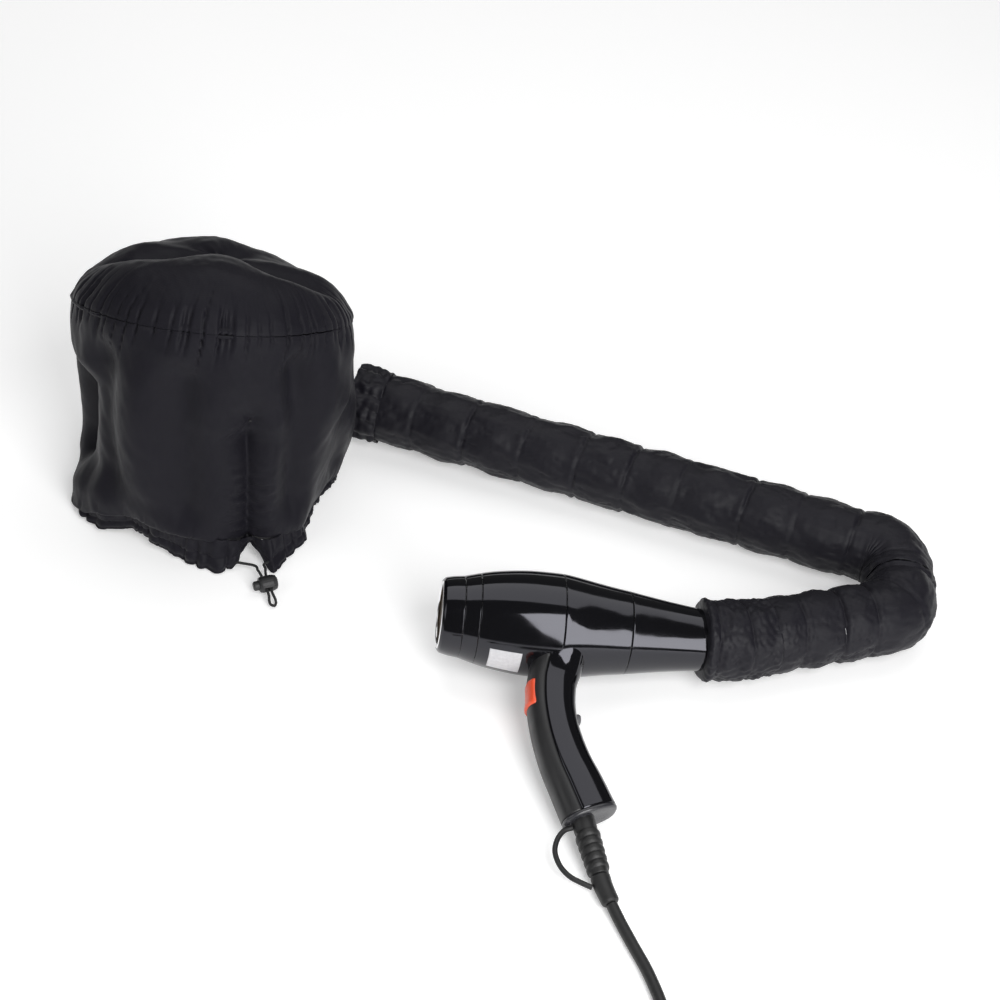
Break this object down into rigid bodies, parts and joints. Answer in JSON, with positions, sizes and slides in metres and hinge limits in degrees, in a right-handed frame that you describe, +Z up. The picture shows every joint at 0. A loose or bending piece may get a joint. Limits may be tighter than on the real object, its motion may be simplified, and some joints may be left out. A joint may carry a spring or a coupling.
{
  "type": "hood hair dryer",
  "caption": "Soft bonnet hair drying hood on a flexible fabric air hose, its cuff over the nozzle of a handheld blow-dryer with a coiled mains lead.",
  "frame": {"origin": "on the table under the middle of the object's box, mains lead and plug left out", "axes": "+Z up, +X from the hood towards the hose's bends, the dryer on the -Y side"},
  "size_m": [0.7637, 0.7789, 0.2455],
  "materials": {
    "fabric": "slightly shiny woven black nylon",
    "lining": "matt black lining cloth with air outlets",
    "string": "braided black cord",
    "lock_plastic": "fine satin",
    "spring_steel": "drawn wire",
    "gloss_black": "polished black",
    "matt_black": "fine matt grain",
    "inner_plastic": "heat resistant, matt",
    "dark_grey": "satin dark grey",
    "orange_red": "smooth orange red",
    "bronze_mesh": "woven bronze coloured mesh",
    "chrome_trim": "bright",
    "steel": "plain",
    "mica": "pressed mica sheet",
    "label_paper": "blank silver grey sticker",
    "black_rubber": "matt moulded",
    "pin_brass": "nickel-free brass"
  },
  "bodies": {
    "hood": {"side_wall": "fabric", "crown_panel": "fabric", "crown_seam_binding": "fabric", "vented_lining": "lining", "hem_casing": "fabric", "drawstring": "string", "tack_front": "fabric", "tack_right": "fabric", "tack_back": "fabric", "tack_left": "fabric", "crown_tack_left": "fabric", "crown_tack_right": "fabric", "hose_collar": "fabric", "hose_upper": "fabric", "wire_helix_upper": "spring_steel"},
    "hose_elbow": {"hose_middle": "fabric", "hose_bend_1": "fabric"},
    "hose_end": {"hose_lower": "fabric", "hose_cuff": "fabric", "wire_helix_lower": "spring_steel", "hose_bend_2": "fabric"},
    "dryer": {"filter_seat": "gloss_black", "rear_housing": "gloss_black", "front_housing": "gloss_black", "nozzle": "gloss_black", "handle_shell": "gloss_black", "handle_rear_cover": "matt_black", "switch_block": "matt_black", "lead_tie": "matt_black", "fan_duct": "inner_plastic", "motor_mount": "inner_plastic", "outlet_grille": "inner_plastic", "handle_end_cap": "dark_grey", "motor": "steel", "handle_screw_upper": "steel", "handle_screw_lower": "steel", "heater_coil": "steel", "heater_frame": "mica", "heat_shield": "mica", "blank_label": "label_paper", "strain_relief": "black_rubber", "cord_sleeve": "black_rubber", "hanging_loop": "black_rubber", "mains_lead": "black_rubber", "lead_coil": "black_rubber", "lead_tail": "black_rubber", "plug_body": "black_rubber", "plug_pin_a": "pin_brass", "plug_pin_b": "pin_brass"},
    "filter": {"filter_cap": "gloss_black", "intake_trim_ring": "chrome_trim", "intake_mesh": "bronze_mesh"},
    "rotor": {"fan": "inner_plastic", "motor_shaft": "steel"},
    "rocker": {"rocker_switch": "orange_red"},
    "cool_button": {"cool_shot_button": "dark_grey"},
    "cord_lock": {"cord_lock_body": "lock_plastic", "cord_lock_spring": "spring_steel"},
    "cord_lock_button": {"cord_lock_plunger": "lock_plastic"}
  },
  "joints": [
    {"name": "hose_first_bend", "type": "hinge", "parent": "hood", "child": "hose_elbow", "pos_m": [0.35, 0.105, 0.0315], "axis": [0, 0, 1], "range_deg": [-6, 60], "deforming": ["hose_bend_1"]},
    {"name": "hose_second_bend", "type": "hinge", "parent": "hose_elbow", "child": "hose_end", "pos_m": [0.35, 0.033, 0.0315], "axis": [0, 0, 1], "range_deg": [-6, 60], "deforming": ["hose_bend_2"]},
    {"name": "dryer_out_of_cuff", "type": "slide", "parent": "hose_end", "child": "dryer", "axis": [-0.9937, -0.0859, 0.0715], "range_m": [0, 0.06]},
    {"name": "filter_cap_pull", "type": "slide", "parent": "dryer", "child": "filter", "axis": [-0.9937, -0.0859, 0.0715], "range_m": [0, 0.03]},
    {"name": "fan_spin", "type": "hinge", "parent": "dryer", "child": "rotor", "pos_m": [0.0597, -0.0353, 0.044], "axis": [0.9937, 0.0859, -0.0715], "continuous": true},
    {"name": "power_rocker", "type": "hinge", "parent": "dryer", "child": "rocker", "pos_m": [0.0416, -0.10683, 0.03516], "axis": [-0.0833, 0.1429, -0.9862], "range_deg": [-7, 7]},
    {"name": "cool_shot_press", "type": "slide", "parent": "dryer", "child": "cool_button", "axis": [-0.9937, -0.0859, 0.0715], "range_m": [0, 0.0025], "stiffness_N_per_m": 300, "springref_m": -0.001},
    {"name": "cord_lock_slide", "type": "slide", "parent": "hood", "child": "cord_lock", "axis": [0.4305, -0.9026, 0], "range_m": [-0.003, 0.006]},
    {"name": "cord_lock_press", "type": "slide", "parent": "cord_lock", "child": "cord_lock_button", "axis": [0.9026, 0.4305, 0], "range_m": [0, 0.0026], "stiffness_N_per_m": 300, "springref_m": -0.001, "deforming": ["cord_lock_spring"]}
  ]
}
